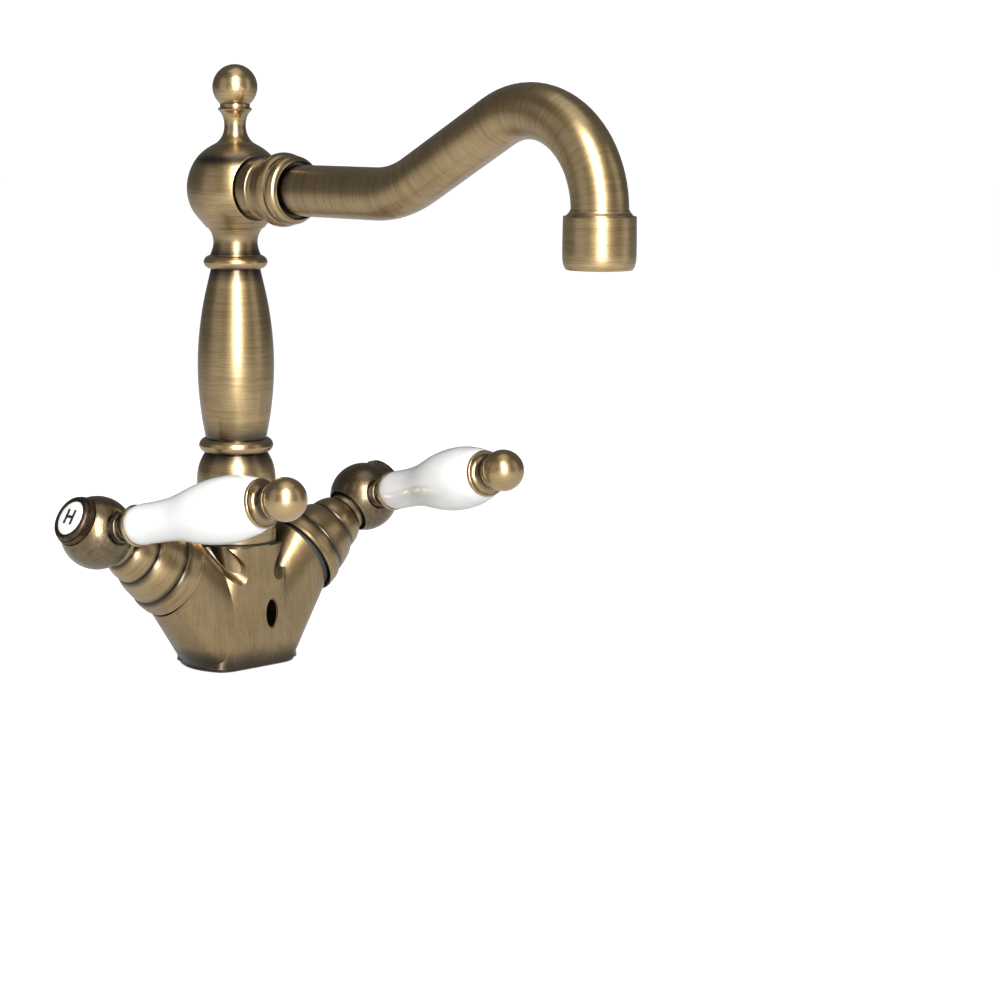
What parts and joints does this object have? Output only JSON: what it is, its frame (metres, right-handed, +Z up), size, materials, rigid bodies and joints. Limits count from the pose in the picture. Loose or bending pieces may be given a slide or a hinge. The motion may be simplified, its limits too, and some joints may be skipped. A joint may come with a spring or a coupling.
{
  "type": "two-handle basin mixer",
  "caption": "Deck-mounted basin mixer with a turned column, an arched swivel spout and porcelain quarter-turn levers on angled valves.",
  "frame": {"origin": "centre of the body's deck face, on the column axis", "axes": "+Z up along the column, -Y forward along the spout, -X the hot side, +X the cold side"},
  "size_m": [0.1544, 0.2094, 0.2184],
  "materials": {
    "antique_brass": "brushed antique brass with darker patina in the recesses, lacquered",
    "dark_brass": "brushed, dark brown patina",
    "dark_bronze": "blackened bronze, knurled",
    "plain_brass": "bare turned brass",
    "steel": "stainless, satin",
    "porcelain": "white, gloss glaze",
    "valve_ceramic": "lapped alumina",
    "black_rubber": "matt black",
    "black_polymer": "matt black, low friction",
    "grey_polymer": "moulded grey"
  },
  "bodies": {
    "body": {"mixer_body": "antique_brass", "base_seal": "black_rubber", "swivel_spigot": "plain_brass", "swivel_o_rings": "black_rubber", "swivel_slip_ring": "black_polymer", "hot_bonnet": "antique_brass", "hot_bonnet_seal": "black_rubber", "hot_valve_housing": "plain_brass", "hot_housing_o_ring": "black_rubber", "hot_seat_seal": "black_rubber", "hot_fixed_disc": "valve_ceramic", "cold_bonnet": "antique_brass", "cold_bonnet_seal": "black_rubber", "cold_valve_housing": "plain_brass", "cold_housing_o_ring": "black_rubber", "cold_seat_seal": "black_rubber", "cold_fixed_disc": "valve_ceramic"},
    "spout": {"column_foot": "antique_brass", "retaining_screw": "steel", "column_ring_lower": "antique_brass", "column_barrel": "antique_brass", "column_ring_upper": "antique_brass", "riser_tube": "plain_brass", "spout_head": "antique_brass", "finial": "antique_brass", "spout_collar": "antique_brass", "collar_seal": "black_rubber", "spout_tube": "antique_brass", "outlet_adapter": "antique_brass", "aerator_housing": "antique_brass", "aerator_gasket": "black_rubber", "aerator_insert": "grey_polymer", "aerator_screen": "steel"},
    "hot_handle": {"hot_moving_disc": "valve_ceramic", "hot_spindle": "plain_brass", "hot_spindle_o_rings": "black_rubber", "hot_handle_hub": "dark_brass", "hot_handle_screw": "steel", "hot_index_ring": "dark_bronze", "hot_index_disc": "porcelain", "hot_lever_rod": "steel", "hot_lever_ferrule": "antique_brass", "hot_lever_grip": "porcelain", "hot_lever_collar": "antique_brass", "hot_lever_knob": "antique_brass"},
    "cold_handle": {"cold_moving_disc": "valve_ceramic", "cold_spindle": "plain_brass", "cold_spindle_o_rings": "black_rubber", "cold_handle_hub": "dark_brass", "cold_handle_screw": "steel", "cold_index_ring": "dark_bronze", "cold_index_disc": "porcelain", "cold_lever_rod": "steel", "cold_lever_ferrule": "antique_brass", "cold_lever_grip": "porcelain", "cold_lever_collar": "antique_brass", "cold_lever_knob": "antique_brass"}
  },
  "joints": [
    {"name": "spout_swivel", "type": "hinge", "parent": "body", "child": "spout", "pos_m": [0, 0, 0.0454], "axis": [0, 0, 1], "continuous": true},
    {"name": "hot_valve_turn", "type": "hinge", "parent": "body", "child": "hot_handle", "pos_m": [-0.062, 0, 0.055], "axis": [-0.866, 0, 0.5], "range_deg": [-30, 60]},
    {"name": "cold_valve_turn", "type": "hinge", "parent": "body", "child": "cold_handle", "pos_m": [0.062, 0, 0.055], "axis": [-0.866, 0, -0.5], "range_deg": [-30, 60]}
  ]
}
